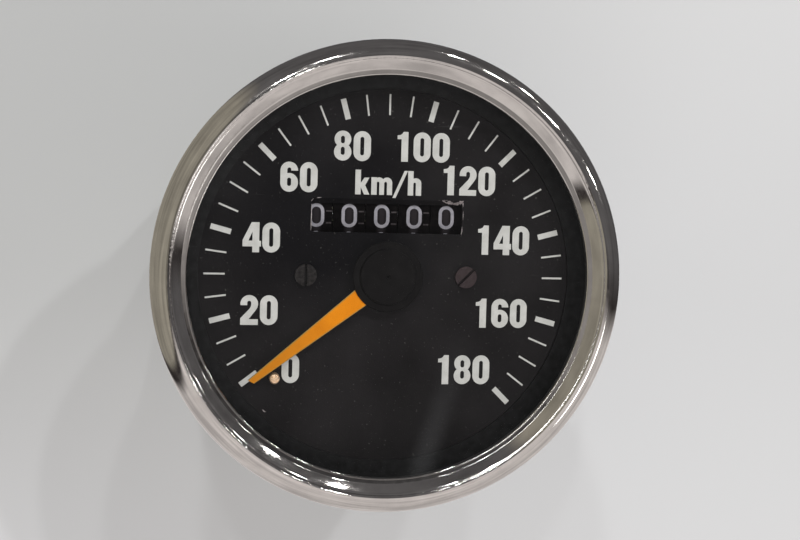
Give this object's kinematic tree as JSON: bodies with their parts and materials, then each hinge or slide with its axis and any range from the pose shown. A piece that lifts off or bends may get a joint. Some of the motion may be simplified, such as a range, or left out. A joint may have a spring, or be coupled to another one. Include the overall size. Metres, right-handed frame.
{
  "type": "speedometer",
  "caption": "Round dashboard speedometer with an orange pointer and number drums over a black dial, driven by a flexible cable.",
  "frame": {"origin": "on the case axis, in the plane where the bezel's rear edge seats on the panel", "axes": "the dial looks along -Y, twelve o'clock is +Z, and +X is the viewer's right"},
  "size_m": [0.0854, 0.081, 0.0854],
  "materials": {
    "bezel": "satin, tarnished",
    "glass": "clear",
    "gasket": "matt",
    "black_ring": "matt",
    "zinc": "zinc plated, dull",
    "dial": "matt, finely scratched",
    "print": "matt off-white ink",
    "dark_screw": "blackened",
    "pin": "copper coloured",
    "pointer": "satin",
    "hub": "matt",
    "steel": "ground",
    "cup": "bright",
    "bronze": "dull",
    "cast": "die cast",
    "magnet": "raw",
    "drum": "matt",
    "wheel": "moulded",
    "bakelite": "moulded",
    "bulb": "clear"
  },
  "bodies": {
    "gauge": {"bezel": "bezel", "glass": "glass", "glass_gasket": "gasket", "glass_ring": "black_ring", "case": "zinc", "dial_plate": "dial", "dial_markings": "print", "dial_screws": "dark_screw", "dial_pillars": "steel", "stop_pin": "pin", "hairspring": "bronze", "hairspring_stud": "steel", "bridge_plate": "cast", "bridge_screws": "steel", "pointer_bearing": "bronze", "mechanism_frame": "cast", "frame_screws": "steel", "spindle_bearing": "bronze", "drum_axle": "steel", "drum_brackets": "steel", "bracket_screws": "steel", "pinion_carriers": "steel", "cable_connector": "zinc", "mounting_studs": "zinc", "bulb_holders": "bakelite", "bulbs": "bulb", "earth_tab": "bronze"},
    "pointer": {"pointer_arm": "pointer", "pointer_hub": "hub", "pointer_spindle": "steel", "drag_cup": "cup", "hairspring_collet": "bronze"},
    "drive": {"drive_spindle": "steel", "main_worm": "steel", "magnet": "magnet", "field_ring": "steel"},
    "cross": {"cross_shaft": "steel", "cross_wheel": "wheel", "cross_worm": "steel"},
    "upright": {"odometer_shaft": "steel", "odometer_wheel": "wheel", "odometer_worm": "steel"},
    "units": {"units_drum": "drum", "drum_drive_wheel": "wheel"},
    "tens": {"tens_drum": "drum"},
    "hundreds": {"hundreds_drum": "drum"},
    "thousands": {"thousands_drum": "drum"},
    "ten_thousands": {"ten_thousands_drum": "drum"},
    "carry_1": {"carry_pinion_1": "wheel"},
    "carry_2": {"carry_pinion_2": "wheel"},
    "carry_3": {"carry_pinion_3": "wheel"},
    "carry_4": {"carry_pinion_4": "wheel"}
  },
  "joints": [
    {"name": "pointer_swing", "type": "hinge", "parent": "gauge", "child": "pointer", "pos_m": [0, 0, 0], "axis": [0, 1, 0], "range_deg": [-0.8, 263.4], "stiffness_Nm_per_rad": 0.0001, "springref_deg": -2.86},
    {"name": "units_spin", "type": "hinge", "parent": "gauge", "child": "units", "pos_m": [0, 0.0067, 0.011], "axis": [-1, 0, 0], "continuous": true},
    {"name": "drive_spin", "type": "hinge", "parent": "gauge", "child": "drive", "pos_m": [0, 0, 0], "axis": [0, 1, 0], "continuous": true},
    {"name": "cross_spin", "type": "hinge", "parent": "gauge", "child": "cross", "pos_m": [0.00667, 0.03577, 0], "axis": [0, 0, 1], "continuous": true},
    {"name": "upright_spin", "type": "hinge", "parent": "gauge", "child": "upright", "pos_m": [0.01663, 0, 0.01917], "axis": [0, -1, 0], "continuous": true},
    {"name": "tens_spin", "type": "hinge", "parent": "gauge", "child": "tens", "pos_m": [0, 0.0067, 0.011], "axis": [-1, 0, 0], "continuous": true},
    {"name": "hundreds_spin", "type": "hinge", "parent": "gauge", "child": "hundreds", "pos_m": [0, 0.0067, 0.011], "axis": [-1, 0, 0], "continuous": true},
    {"name": "thousands_spin", "type": "hinge", "parent": "gauge", "child": "thousands", "pos_m": [0, 0.0067, 0.011], "axis": [-1, 0, 0], "continuous": true},
    {"name": "ten_thousands_spin", "type": "hinge", "parent": "gauge", "child": "ten_thousands", "pos_m": [0, 0.0067, 0.011], "axis": [-1, 0, 0], "continuous": true},
    {"name": "carry_1_spin", "type": "hinge", "parent": "gauge", "child": "carry_1", "pos_m": [0, 0.0109, 0.011], "axis": [-1, 0, 0], "continuous": true},
    {"name": "carry_2_spin", "type": "hinge", "parent": "gauge", "child": "carry_2", "pos_m": [0, 0.0109, 0.011], "axis": [-1, 0, 0], "continuous": true},
    {"name": "carry_3_spin", "type": "hinge", "parent": "gauge", "child": "carry_3", "pos_m": [0, 0.0109, 0.011], "axis": [-1, 0, 0], "continuous": true},
    {"name": "carry_4_spin", "type": "hinge", "parent": "gauge", "child": "carry_4", "pos_m": [0, 0.0109, 0.011], "axis": [-1, 0, 0], "continuous": true}
  ],
  "couplings": [
    {"joint": "drive_spin", "follows": "units_spin", "ratio": 10000},
    {"joint": "cross_spin", "follows": "units_spin", "ratio": 625},
    {"joint": "upright_spin", "follows": "units_spin", "ratio": 25},
    {"joint": "tens_spin", "follows": "units_spin", "ratio": 0.1},
    {"joint": "hundreds_spin", "follows": "units_spin", "ratio": 0.01},
    {"joint": "thousands_spin", "follows": "units_spin", "ratio": 0.001},
    {"joint": "ten_thousands_spin", "follows": "units_spin", "ratio": 0.0001},
    {"joint": "carry_1_spin", "follows": "units_spin", "ratio": 0.33333},
    {"joint": "carry_2_spin", "follows": "units_spin", "ratio": 0.033333},
    {"joint": "carry_3_spin", "follows": "units_spin", "ratio": 0.0033333},
    {"joint": "carry_4_spin", "follows": "units_spin", "ratio": 0.00033333}
  ]
}
